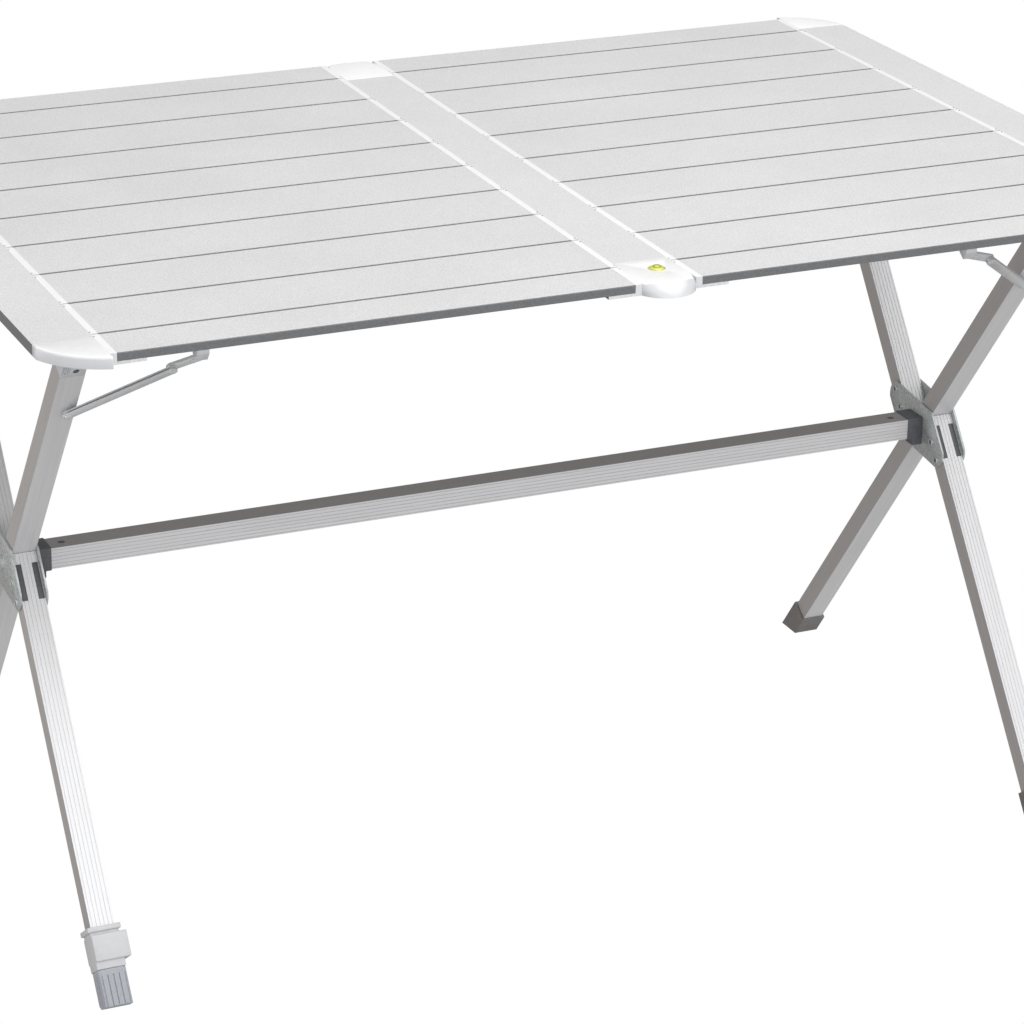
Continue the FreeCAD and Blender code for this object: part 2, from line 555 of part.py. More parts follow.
def build_hubs():
    """Galvanised plates riveted to both halves of a split leg, with the hub bolt."""
    outline = [("-plate_half", "plate_tip - plate_side - neck"),
               ("-plate_half", "-plate_side", "tip_bulge"), ("-plate_in", "-plate_tip"),
               ("plate_half", "plate_side + neck - plate_tip"),
               ("plate_half", "plate_side", "tip_bulge"), ("plate_in", "plate_tip")]
    parts, outer = [], f"(frame_x + {PLATE_X} + plate_t)"
    for name, x in (("inner", HUB_IN), ("outer", f"frame_x + {PLATE_X}")):
        parts.append(place(body(f"hub_plate_{name}", "YZ_Plane", [outline], "plate_t"),
                           x, "0", "0", "B"))
    parts += [xrod("hub_bolt", "bolt_r", f"{outer} - {HUB_IN}", (HUB_IN, "0", "0"), "B"),
              xrod("hub_bolt_head", "bolt_head_r", "bolt_head_t", (outer, "0", "0"), "B")]
    for sign in (-1, 1):
        for far in ("rivet_near", "rivet_far"):
            y, t, key = f"{sign} * split_off", f"{sign} * {far}", f"{sign + 1}_{far}"
            parts += [xrod(f"shank_{key}", "rivet_r", f"{outer} - {HUB_IN}", (HUB_IN, y, t), "B"),
                      xrod(f"head_in_{key}", "rivet_head_r", "rivet_head_t",
                           (f"{HUB_IN} - rivet_head_t", y, t), "B"),
                      xrod(f"head_out_{key}", "rivet_head_r", "rivet_head_t", (outer, y, t), "B")]
    hub = node(fuse("hub_plates_right", parts))
    node(twin("hub_plates_left", hub))


def build_beam():
    """Crossbeam between the two hubs and its moulded end joints."""
    end, mid_z = f"({HUB_IN} - joint_len)", "(hub_z + beam_lift)"
    core_y, core_z = "(beam_y - 2 * beam_wall)", "(beam_z - 2 * beam_wall)"
    bar = body("beam_bar", "YZ_Plane", [fluted("beam_z", "beam_y", False), rect(core_y, core_z)],
               f"2 * ({end} - frame_shift)", True)
    holes = [rod(f"beam_hole_{i}", "beam_hole_r", "beam_wall",
                 (f"frame_shift + {sign} * ({end} - frame_shift - beam_hole_in)", "0",
                  f"{mid_z} + beam_z / 2 - beam_wall"))
             for i, sign in enumerate((-1, 1))]
    node(cut("crossbeam", place(bar, "frame_shift", "0", mid_z), holes))
    wide, tall = "(beam_y + 2 * joint_over)", "(beam_z + 2 * joint_over)"
    pair("beam_joints", fuse("joint_right", [
        box("joint_block", ("joint_len", wide, tall),
            (end, f"-{wide} / 2", f"{mid_z} - {tall} / 2")),
        box("joint_tenon", ("joint_in", core_y, core_z),
            (f"{end} - joint_in", f"-{core_y} / 2", f"{mid_z} - {core_z} / 2")),
        box("joint_tab", ("tab_w", f"{wide} / 2", "tab_drop"),
            (f"{HUB_IN} - tab_w", f"-{wide} / 2", f"{mid_z} - {tall} / 2 - tab_drop"))]))


def build_adjuster():
    """Collar on the left front tube and the shoe whose stem slides in that tube."""
    end, y, x = f"({FOOT_B} + shoe_h)", "-split_off", "(2 * frame_shift - frame_x)"
    wide, deep = "(leg_w + 2 * collar_wall)", "(leg_t + 2 * collar_wall)"
    flange = (f"({wide} + 2 * collar_flange)", f"({deep} + 2 * collar_flange)", "collar_flange_t")
    solid = fuse("collar_solid", [
        cbox("collar_sleeve", (wide, deep, "collar_h"), (x, y, end), "B"),
        cbox("collar_top", flange, (x, y, f"{end} + collar_h - collar_flange_t"), "B"),
        cbox("collar_low", (wide, deep, "collar_flange_t"), (x, y, end), "B"),
        cbox("collar_clamp", ("leg_w + collar_wall + clamp_in", f"({deep} + 2 * clamp_t)", "clamp_h"),
             (f"{x} + (clamp_in - collar_wall) / 2", y, f"{end} + (collar_h - clamp_h) / 2"), "B")])
    node(cut("foot_collar", solid, [cbox("collar_bore", ("leg_w", "leg_t", "collar_h"),
                                         (x, y, end), "B")]))
    wide, deep = "(leg_w + 2 * shoe_wall)", "(leg_t + 2 * shoe_wall)"
    block = body("shoe_block", "XY_Plane", [rect(wide, deep)], "2 * shoe_h - side_gap")
    rounded(block, "shoe_wall * 2", lambda edge, mid: edge.BoundBox.ZLength > 1)
    place(block, x, y, f"{end} - 2 * shoe_h", "B")
    stem = cbox("shoe_stem", (f"({CORE_W} - 2 * stem_gap)", f"({CORE_T} - 2 * stem_gap)",
                              "stem_len + shoe_h / 2"), (x, y, f"{end} - shoe_h / 2"), "B")
    tools = [box("shoe_floor", ("4 * leg_w", "table_h", "2 * shoe_h"),
                 (f"{x} - 2 * leg_w", "-table_h / 2", "-2 * shoe_h")),
             cbox("shoe_toe", ("4 * leg_w", "4 * leg_t", "2 * shoe_h"),
                  (x, f"{y} - 2 * leg_t + toe_lift / tan(leg_angle)",
                   f"{FOOT_B} + toe_lift - 2 * shoe_h"), "B")]
    for i in range(5):
        off = f"{(i - 2) / 5} * {wide}"
        tools.append(cbox(f"shoe_groove_front{i}", ("shoe_rib", "2 * shoe_rib", "shoe_h"),
                          (f"{x} + {off}", f"{y} - {deep} / 2", f"{end} - shoe_h - 6"), "B"))
        off = f"{(i - 2) / 5} * {deep}"
        tools.append(cbox(f"shoe_groove_side{i}", ("2 * shoe_rib", "shoe_rib", "shoe_h"),
                          (f"{x} - {wide} / 2", f"{y} + {off}", f"{end} - shoe_h - 6"), "B"))
    node(cut("adjusting_shoe", fuse("shoe_solid", [block, stem]), tools))


build_slats()
build_strips()
build_rails()
build_caps()
build_channels()
build_straight_legs()
build_split_legs()
build_hubs()
build_beam()
build_adjuster()
doc.recompute()
for obj in NODES:
    if "Invalid" in obj.State or "Error" in obj.State or not obj.Shape.isValid():
        raise SystemExit(f"{obj.Label} failed: {obj.State}")
os.makedirs("parts", exist_ok=True)
for obj in NODES:
    obj.Shape.exportStep(f"parts/{obj.Label}.step")
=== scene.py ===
"""Studio scene of the folding table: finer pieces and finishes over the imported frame."""

import logging
import math
from collections.abc import Sequence
from dataclasses import dataclass, field, replace
from enum import Enum

import bpy
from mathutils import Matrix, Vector


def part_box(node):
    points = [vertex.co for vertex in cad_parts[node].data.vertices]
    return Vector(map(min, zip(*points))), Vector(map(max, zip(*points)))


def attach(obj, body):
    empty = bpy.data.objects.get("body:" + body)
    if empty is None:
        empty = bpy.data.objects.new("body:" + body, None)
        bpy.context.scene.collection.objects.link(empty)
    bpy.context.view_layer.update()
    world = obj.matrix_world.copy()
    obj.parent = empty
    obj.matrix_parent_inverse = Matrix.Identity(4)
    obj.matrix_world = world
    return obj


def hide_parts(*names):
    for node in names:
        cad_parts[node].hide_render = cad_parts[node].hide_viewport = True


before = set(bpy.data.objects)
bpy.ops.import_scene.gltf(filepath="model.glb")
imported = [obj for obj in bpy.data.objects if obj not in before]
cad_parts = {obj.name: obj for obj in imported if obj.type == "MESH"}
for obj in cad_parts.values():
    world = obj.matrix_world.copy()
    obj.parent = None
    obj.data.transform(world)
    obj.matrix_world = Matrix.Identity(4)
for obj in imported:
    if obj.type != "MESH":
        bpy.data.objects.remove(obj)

logging.basicConfig(level=logging.INFO, format="%(message)s")
log = logging.getLogger("folding_table")

Colour = tuple[float, float, float]
Triple = tuple[float, float, float]

SIDES = ("left", "right")
# Tilt of the leg tubes from upright, in degrees.
LEAN = 36.66
# Smoothing angle of turned pieces, in degrees.
ROUND = 60.0
# How far the drawn lines are stretched along the grain.
GRAIN = 0.02
# Scale and contrast of the broad pattern under every finish.
BROAD = (9.0, 1.6)
COAT_ROUGH = 0.12
# Share of a normal along an axis at which a painted shade tint starts and ends.
SQUARE_ON = (0.85, 0.97)
TURNED_AWAY = (0.92, 0.74)


class Body(Enum):
    """The rigid bodies that pieces ride on."""

    TOP = "tabletop"
    STRAIGHT = "straight_legs"
    SPLIT = "split_legs"
    SHOE = "adjuster"


class Slot(Enum):
    """The record's material slots."""

    SLAT = "slat_aluminium"
    RAIL = "rail_aluminium"
    WHITE = "white_plastic"
    RING = "level_ring"
    VIAL = "level_vial"
    LEG = "leg_aluminium"
    GREY = "grey_plastic"
    DARK = "dark_plastic"
    FOOT = "foot_plastic"
    SHOE = "shoe_plastic"
    ZINC = "zinc_steel"
    STAY = "stay_metal"


class Pattern(Enum):
    """Surface patterns that the shared node groups make."""

    SPECKLE = "fine_speckle"
    BRUSH = "drawn_lines"
    CLOUD = "soft_cloud"
    SPANGLE = "zinc_spangle"


def maths(tree: bpy.types.NodeTree, operation: str, value: bpy.types.NodeSocket,
          second: float | None = None) -> bpy.types.Node:
    """Add a maths node.

    Args:
        tree: The nodes to add it to.
        operation: What it does.
        value: The socket that feeds it.
        second: Its second number, if it takes one.

    Returns:
        The new node.
    """
    node = tree.nodes.new("ShaderNodeMath")
    node.operation = operation
    tree.links.new(value, node.inputs[0])
    if second is not None:
        node.inputs[1].default_value = second
    return node


def corners(node: str) -> tuple[Vector, Vector]:
    """Find a frame node's box.

    Args:
        node: Name of the node.

    Returns:
        Its low and high corner.
    """
    low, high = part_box(node)
    return Vector(low), Vector(high)


class Patterns:
    """Shared node groups, each built once and used with its own values."""

    def __init__(self) -> None:
        """Start with no groups built."""
        self.built: dict[Pattern, bpy.types.NodeTree] = {}

    def get(self, pattern: Pattern) -> bpy.types.NodeTree:
        """Return a pattern's node group, building it on first use.

        Args:
            pattern: Which pattern is wanted.

        Returns:
            The node group, with inputs Vector, Scale and Contrast and an output Value.
        """
        if pattern not in self.built:
            self.built[pattern] = self._build(pattern)
        return self.built[pattern]

    def _build(self, pattern: Pattern) -> bpy.types.NodeTree:
        """Build one pattern group.

        Args:
            pattern: Which pattern to build.

        Returns:
            The new node group.
        """
        tree = bpy.data.node_groups.new(pattern.value, "ShaderNodeTree")
        sockets = (("Vector", "INPUT", "NodeSocketVector"), ("Scale", "INPUT", "NodeSocketFloat"),
                   ("Contrast", "INPUT", "NodeSocketFloat"),
                   ("Value", "OUTPUT", "NodeSocketFloat"))
        for name, way, kind in sockets:
            tree.interface.new_socket(name=name, in_out=way, socket_type=kind)
        start = tree.nodes.new("NodeGroupInput")
        end = tree.nodes.new("NodeGroupOutput")
        place = tree.nodes.new("ShaderNodeMapping")
        if pattern is Pattern.BRUSH:
            place.inputs["Scale"].default_value = (1.0, 1.0, GRAIN)
        tree.links.new(start.outputs["Vector"], place.inputs["Vector"])
        if pattern is Pattern.SPANGLE:
            source = tree.nodes.new("ShaderNodeTexVoronoi")
            value = source.outputs["Color"]
            source.inputs["Randomness"].default_value = 1.0
        else:
            source = tree.nodes.new("ShaderNodeTexNoise")
            value = source.outputs["Fac"]
            source.inputs["Detail"].default_value = 2.0 if pattern is Pattern.SPECKLE else 5.0
        tree.links.new(place.outputs["Vector"], source.inputs["Vector"])
        tree.links.new(start.outputs["Scale"], source.inputs["Scale"])
        centre = maths(tree, "SUBTRACT", value, 0.5)
        gain = maths(tree, "MULTIPLY", centre.outputs[0])
        tree.links.new(start.outputs["Contrast"], gain.inputs[1])
        back = maths(tree, "ADD", gain.outputs[0], 0.5)
        back.use_clamp = True
        tree.links.new(back.outputs[0], end.inputs["Value"])
        return tree


PATTERNS = Patterns()


@dataclass(frozen=True)
class Finish:
    """One procedural finish: a base colour broken up by a fine and a broad pattern."""

    name: str
    light: Colour
    dark: Colour
    pattern: Pattern
    scale: float
    contrast: float = 2.0
    metallic: float = 0.0
    rough: tuple[float, float] = (0.4, 0.5)
    bump: float = 0.0
    bump_depth: float = 0.0002
    broad: float = 0.05
    coat: float = 0.0
    # Painted shade on faces that do not look up; on the slats it also stands for their darker edge
    # coat.
    side: Colour | None = None
    specular: float = 0.5
    # Painted shadow on faces that look up.
    up: Colour | None = None
    # Painted shade on faces that look along X.
    across: Colour | None = None
    lay: Triple | None = None

    def material(self) -> bpy.types.Material:
        """Make the material.

        Returns:
            A node material that reads Object coordinates only.
        """
        mat = bpy.data.materials.new(self.name)
        mat.use_nodes = True
        tree = mat.node_tree
        shader = tree.nodes["Principled BSDF"]
        shader.inputs["Metallic"].default_value = self.metallic
        shader.inputs["Coat Weight"].default_value = self.coat
        shader.inputs["Coat Roughness"].default_value = COAT_ROUGH
        shader.inputs["Specular IOR Level"].default_value = self.specular
        where = tree.nodes.new("ShaderNodeTexCoord")
        spot = where.outputs["Object"]
        if self.lay is not None:
            turned = tree.nodes.new("ShaderNodeMapping")
            turned.inputs["Rotation"].default_value = [math.radians(part) for part in self.lay]
            tree.links.new(spot, turned.inputs["Vector"])
            spot = turned.outputs["Vector"]
        fine = self._pattern(tree, spot, self.pattern, self.scale, self.contrast)
        broad = self._pattern(tree, spot, Pattern.CLOUD, *BROAD)
        colour = self.mix(tree, fine, self.dark, self.light)
        shade = tree.nodes.new("ShaderNodeMix")
        shade.data_type = "RGBA"
        shade.blend_type = "MULTIPLY"
        shade.inputs["Factor"].default_value = self.broad
        tree.links.new(colour, shade.inputs["A"])
        tree.links.new(broad, shade.inputs["B"])
        out = shade.outputs["Result"]
        # Painted shade: each tint darkens faces by which way they look.
        for tint, axis, inside in ((self.side, "Z", True), (self.across, "X", False),
                                   (self.up, "Z", False)):
            if tint is not None:
                out = self._paint_shade_by_facing(tree, where, out, fine, tint, axis, inside)
        tree.links.new(out, shader.inputs["Base Color"])
        rough = tree.nodes.new("ShaderNodeMapRange")
        rough.inputs["To Min"].default_value = self.rough[0]
        rough.inputs["To Max"].default_value = self.rough[1]
        tree.links.new(fine, rough.inputs["Value"])
        tree.links.new(rough.outputs["Result"], shader.inputs["Roughness"])
        if self.bump:
            bump = tree.nodes.new("ShaderNodeBump")
            bump.inputs["Strength"].default_value = self.bump
            bump.inputs["Distance"].default_value = self.bump_depth
            tree.links.new(fine, bump.inputs["Height"])
            tree.links.new(bump.outputs["Normal"], shader.inputs["Normal"])
        return mat

    @staticmethod
    def _pattern(tree: bpy.types.NodeTree, spot: bpy.types.NodeSocket, pattern: Pattern,
                 scale: float, contrast: float) -> bpy.types.NodeSocket:
        """Place a shared pattern group in a material.

        Args:
            tree: The material's nodes.
            spot: The coordinates it reads.
            pattern: The pattern to place.
            scale: Its scale, in features per metre.
            contrast: How far it swings round its middle.

        Returns:
            The group's Value output.
        """
        group = tree.nodes.new("ShaderNodeGroup")
        group.node_tree = PATTERNS.get(pattern)
        group.inputs["Scale"].default_value = scale
        group.inputs["Contrast"].default_value = contrast
        tree.links.new(spot, group.inputs["Vector"])
        return group.outputs["Value"]

    @staticmethod
    def mix(tree: bpy.types.NodeTree, factor: bpy.types.NodeSocket, low: Colour,
             high: Colour) -> bpy.types.NodeSocket:
        """Mix two colours by a factor.

        Args:
            tree: The material's nodes.
            factor: The mixing value.
            low: Colour at zero.
            high: Colour at one.

        Returns:
            The mixed colour.
        """
        mix = tree.nodes.new("ShaderNodeMix")
        mix.data_type = "RGBA"
        mix.inputs["A"].default_value = (*low, 1.0)
        mix.inputs["B"].default_value = (*high, 1.0)
        tree.links.new(factor, mix.inputs["Factor"])
        return mix.outputs["Result"]

    def _paint_shade_by_facing(self, tree: bpy.types.NodeTree, where: bpy.types.Node,
                rest: bpy.types.NodeSocket, fine: bpy.types.NodeSocket, tint: Colour,
                axis: str, inside: bool) -> bpy.types.NodeSocket:
        """Paint shade onto the faces that look along an axis, or onto the ones that look away from
        it.

        Args:
            tree: The material's nodes.
            where: The texture coordinate node.
            rest: Colour of the other faces.
            fine: The fine pattern, kept on the tinted faces.
            tint: The lighter of the two painted shade colours.
            axis: The axis, X or Z.
            inside: Whether the faces square to the axis keep their colour instead.

        Returns:
            The colour with painted shade on those faces.
        """
        split = tree.nodes.new("ShaderNodeSeparateXYZ")
        tree.links.new(where.outputs["Normal"], split.inputs[0])
        size = maths(tree, "ABSOLUTE", split.outputs[axis])
        mask = tree.nodes.new("ShaderNodeMapRange")
        ends = TURNED_AWAY if inside else SQUARE_ON
        mask.inputs["From Min"].default_value, mask.inputs["From Max"].default_value = ends
        tree.links.new(size.outputs[0], mask.inputs["Value"])
        # Darker end of the painted shade, under the fine pattern.
        shade_dark = tuple(part * low / high for part, low, high in zip(tint, self.dark, self.light))
        mix = tree.nodes.new("ShaderNodeMix")
        mix.data_type = "RGBA"
        tree.links.new(mask.outputs["Result"], mix.inputs["Factor"])
        tree.links.new(rest, mix.inputs["A"])
        tree.links.new(self.mix(tree, fine, shade_dark, tint), mix.inputs["B"])
        return mix.outputs["Result"]


# Anodised leg: faces turned along X carry painted shade (across), darker than the faces the light
# reaches.
LEG = Finish("Anodised leg", (0.80, 0.80, 0.81), (0.70, 0.70, 0.71), Pattern.BRUSH, 420.0, 1.6,
             0.35, (0.36, 0.48), 0.1, 0.0001, 0.05, across=(0.54, 0.52, 0.51),
             lay=(-LEAN, 0.0, 0.0))
FINISHES: dict[Slot, Finish] = {
    # Slats: the side tint darkens every face that does not look up, as a darker edge coat on the
    # slat fronts and as painted shade down the gaps between slats.
    Slot.SLAT: Finish("Speckled slat coat", (0.80, 0.80, 0.80), (0.58, 0.585, 0.59),
                      Pattern.SPECKLE, 760.0, 2.6, 0.0, (0.42, 0.58), 0.2, 0.0003, 0.08,
                      side=(0.17, 0.175, 0.18)),
    # Rails: faces turned along X carry painted shade (across).
    Slot.RAIL: Finish("Speckled rail coat", (0.80, 0.805, 0.81), (0.60, 0.605, 0.61),
                      Pattern.SPECKLE, 760.0, 2.6, 0.0, (0.42, 0.58), 0.2, 0.0003, 0.06,
                      across=(0.19, 0.19, 0.195)),
    # White mouldings: the sides carry painted shade (side), greyer than the tops.
    Slot.WHITE: Finish("White moulding", (0.92, 0.922, 0.93), (0.88, 0.885, 0.895),
                       Pattern.CLOUD, 140.0, 1.5, 0.0, (0.30, 0.42), 0.12, 0.0001, 0.03,
                       side=(0.72, 0.725, 0.745)),
    Slot.RING: Finish("Level rim", (0.70, 0.71, 0.30), (0.60, 0.61, 0.22),
                      Pattern.CLOUD, 260.0, 1.5, 0.0, (0.12, 0.2), 0.0, 0.0001, 0.04, 0.6),
    Slot.VIAL: Finish("Level fluid", (0.72, 0.75, 0.14), (0.62, 0.65, 0.09),
                      Pattern.CLOUD, 420.0, 1.8, 0.0, (0.06, 0.12), 0.0, 0.0001, 0.04, 1.0),
    Slot.LEG: LEG,
    Slot.GREY: Finish("Light grey moulding", (0.66, 0.67, 0.69), (0.58, 0.59, 0.61),
                      Pattern.CLOUD, 200.0, 1.6, 0.0, (0.38, 0.5), 0.15, 0.0001, 0.05),
    # Also used for the dark discs in the holes, which are painted shade.
    Slot.DARK: Finish("Dark moulding and hole shade", (0.13, 0.135, 0.145), (0.085, 0.09, 0.10),
                      Pattern.CLOUD, 300.0, 1.8, 0.0, (0.38, 0.52), 0.2, 0.0001, 0.1),
    Slot.FOOT: Finish("Foot moulding", (0.24, 0.225, 0.215), (0.17, 0.16, 0.155),
                      Pattern.CLOUD, 260.0, 1.8, 0.0, (0.42, 0.6), 0.25, 0.0002, 0.12),
    Slot.SHOE: Finish("Ribbed shoe rubber", (0.50, 0.52, 0.56), (0.38, 0.40, 0.44),
                      Pattern.SPECKLE, 700.0, 1.8, 0.0, (0.55, 0.7), 0.3, 0.0002, 0.12),
    Slot.ZINC: Finish("Galvanised plate", (0.62, 0.65, 0.645), (0.54, 0.57, 0.565),
                      Pattern.SPANGLE, 420.0, 1.2, 0.5, (0.24, 0.42), 0.08, 0.0001, 0.12),
    Slot.STAY: Finish("Satin stay", (0.82, 0.83, 0.84), (0.72, 0.73, 0.74),
                      Pattern.BRUSH, 500.0, 1.8, 0.45, (0.32, 0.44), 0.1, 0.0001, 0.06,
                      lay=(-LEAN, 0.0, 0.0)),
}
CHANNEL = replace(LEG, name="Anodised channel", lay=(90.0, 0.0, 0.0), across=None)
# Split legs keep the leg's painted shade on faces turned along X.
SPLIT_LEG = replace(LEG, name="Anodised split leg", lay=(LEAN, 0.0, 0.0))
# Crossbeam: the up-facing faces carry painted shadow of the tabletop (up).
BEAM = replace(LEG, name="Anodised crossbeam", lay=(0.0, -90.0, 0.0), across=None,
               up=(0.40, 0.39, 0.385))
# Centre cap: deeper painted shade on its sides than on the other white mouldings.
NOSE = replace(FINISHES[Slot.WHITE], name="White nose moulding", side=(0.57, 0.575, 0.59))
COLLAR = replace(FINISHES[Slot.WHITE], name="Pale grey moulding", light=(0.64, 0.645, 0.66),
                 dark=(0.58, 0.585, 0.60), side=None)
PRINT = Finish("Printed circle", (0.33, 0.33, 0.08), (0.25, 0.25, 0.05), Pattern.CLOUD, 400.0,
               1.5, 0.0, (0.2, 0.3))
BUBBLE = Finish("Bubble", (0.88, 0.86, 0.22), (0.80, 0.77, 0.12), Pattern.CLOUD, 300.0, 1.5,
                0.0, (0.05, 0.1), coat=1.0)


class Wardrobe:
    """Makes each material once and dresses objects with it."""

    def __init__(self) -> None:
        """Start with no materials made."""
        self.made: dict[str, bpy.types.Material] = {}

    def dress(self, obj: bpy.types.Object, slot: Slot,
              finish: Finish | None = None) -> bpy.types.Object:
        """Give an object its finish.

        Args:
            obj: The mesh object.
            slot: The material slot it belongs to.
            finish: A finish other than the slot's usual one.

        Returns:
            The same object.
        """
        finish = finish or FINISHES[slot]
        if finish.name not in self.made:
            self.made[finish.name] = finish.material()
        obj.data.materials.clear()
        obj.data.materials.append(self.made[finish.name])
        return obj


WARDROBE = Wardrobe()


class Bench:
    """Modelling steps shared by the pieces, done with Blender's own operators."""

    WELD = 0.00002
    FLAT = math.radians(1.0)

    @staticmethod
    def clear() -> None:
        """Deselect everything, in object mode."""
        if bpy.context.mode != "OBJECT":
            bpy.ops.object.mode_set(mode="OBJECT")
        bpy.ops.object.select_all(action="DESELECT")

    @staticmethod
    def pick(obj: bpy.types.Object) -> None:
        """Select one object and make it active.

        Args:
            obj: The object.
        """
        Bench.clear()
        obj.select_set(True)
        bpy.context.view_layer.objects.active = obj

    @staticmethod
    def settle(obj: bpy.types.Object, angle: float = 35.0) -> bpy.types.Object:
        """Apply place and modifiers, and shade smooth by angle.

        Args:
            obj: The finished object.
            angle: Edges sharper than this many degrees stay crisp.

        Returns:
            The same object.
        """
        Bench.pick(obj)
        bpy.ops.object.transform_apply(location=True, rotation=True, scale=True)
        for modifier in list(obj.modifiers):
            bpy.ops.object.modifier_apply(modifier=modifier.name)
        bpy.ops.object.shade_smooth_by_angle(angle=math.radians(angle))
        return obj

    @staticmethod
    def flatten(obj: bpy.types.Object, share: float) -> bpy.types.Object:
        """Flatten a turned piece along its own axis, then settle it.

        Args:
            obj: The new piece, active and selected.
            share: Height it keeps.

        Returns:
            The same object.
        """
        bpy.ops.object.mode_set(mode="EDIT")
        bpy.ops.transform.resize(value=(1, 1, share), orient_type="LOCAL")
        bpy.ops.object.mode_set(mode="OBJECT")
        return Bench.settle(obj, ROUND)

    @staticmethod
    def bevel(obj: bpy.types.Object, width: float, segments: int = 2,
              angle: float = 30.0) -> None:
        """Add a bevel over the sharp edges.

        Args:
            obj: The object.
            width: Width of the bevel.
            segments: Steps across it.
            angle: Least angle of a bevelled edge, in degrees.
        """
        modifier = obj.modifiers.new("bevel", "BEVEL")
        modifier.width = width
        modifier.segments = segments
        modifier.limit_method = "ANGLE"
        modifier.angle_limit = math.radians(angle)
        modifier.use_clamp_overlap = True
        modifier.harden_normals = False

    @staticmethod
    def refined(node: str, body: Body, slot: Slot, width: float,
                segments: int = 2) -> bpy.types.Object:
        """Copy a frame node, clean its faces and round its edges.

        Args:
            node: The frame node to stand in for.
            body: The body it rides on.
            slot: The material slot.
            width: Width of the rounding.
            segments: Steps across the rounding.

        Returns:
            The finer piece, which replaces the node.
        """
        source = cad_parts[node]
        obj = bpy.data.objects.new(node + "_fine", source.data.copy())
        bpy.context.scene.collection.objects.link(obj)
        Bench.pick(obj)
        bpy.ops.object.mode_set(mode="EDIT")
        bpy.ops.mesh.select_all(action="SELECT")
        bpy.ops.mesh.remove_doubles(threshold=Bench.WELD)
        bpy.ops.mesh.dissolve_limited(angle_limit=Bench.FLAT)
        bpy.ops.object.mode_set(mode="OBJECT")
        Bench.bevel(obj, width, segments)
        Bench.settle(obj)
        WARDROBE.dress(obj, slot)
        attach(obj, body.value)
        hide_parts(node)
        log.info("refined %s", node)
        return obj


@dataclass
class TableTop:
    """Slats, end strips, rails and moulded caps."""

    cap_edge: float = 0.0006
    nose: float = 0.406
    pull: float = 0.8
    dressed: tuple[tuple[str, Slot, Finish | None], ...] = (
        ("slat_", Slot.SLAT, None), ("rail_", Slot.RAIL, None), ("end_strip", Slot.WHITE, None),
        ("leg_channel", Slot.LEG, CHANNEL), ("stay_brackets", Slot.STAY, None))

    def build(self) -> None:
        """Dress the frame nodes and round the mouldings."""
        for name, node in sorted(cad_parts.items()):
            for start, slot, finish in self.dressed:
                if name.startswith(start):
                    WARDROBE.dress(node, slot, finish)
        for name in sorted(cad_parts):
            if "_cap_" in name:
                cap = Bench.refined(name, Body.TOP, Slot.WHITE, self.cap_edge)
                if name.startswith("centre"):
                    self._slope(cap)
                    WARDROBE.dress(cap, Slot.WHITE, NOSE)
        log.info("table top dressed")

    def _slope(self, cap: bpy.types.Object) -> None:
        """Slope a bulged cap's nose, so its upper edge runs nearly straight.

        Args:
            cap: The cap, already rounded.
        """
        low = min(vertex.co.z for vertex in cap.data.vertices)
        high = max(vertex.co.z for vertex in cap.data.vertices)
        for vertex in cap.data.vertices:
            over = abs(vertex.co.y) - self.nose
            if over > 0:
                share = (vertex.co.z - low) / (high - low)
                vertex.co.y -= math.copysign(over * share * self.pull, vertex.co.y)
        cap.data.update()


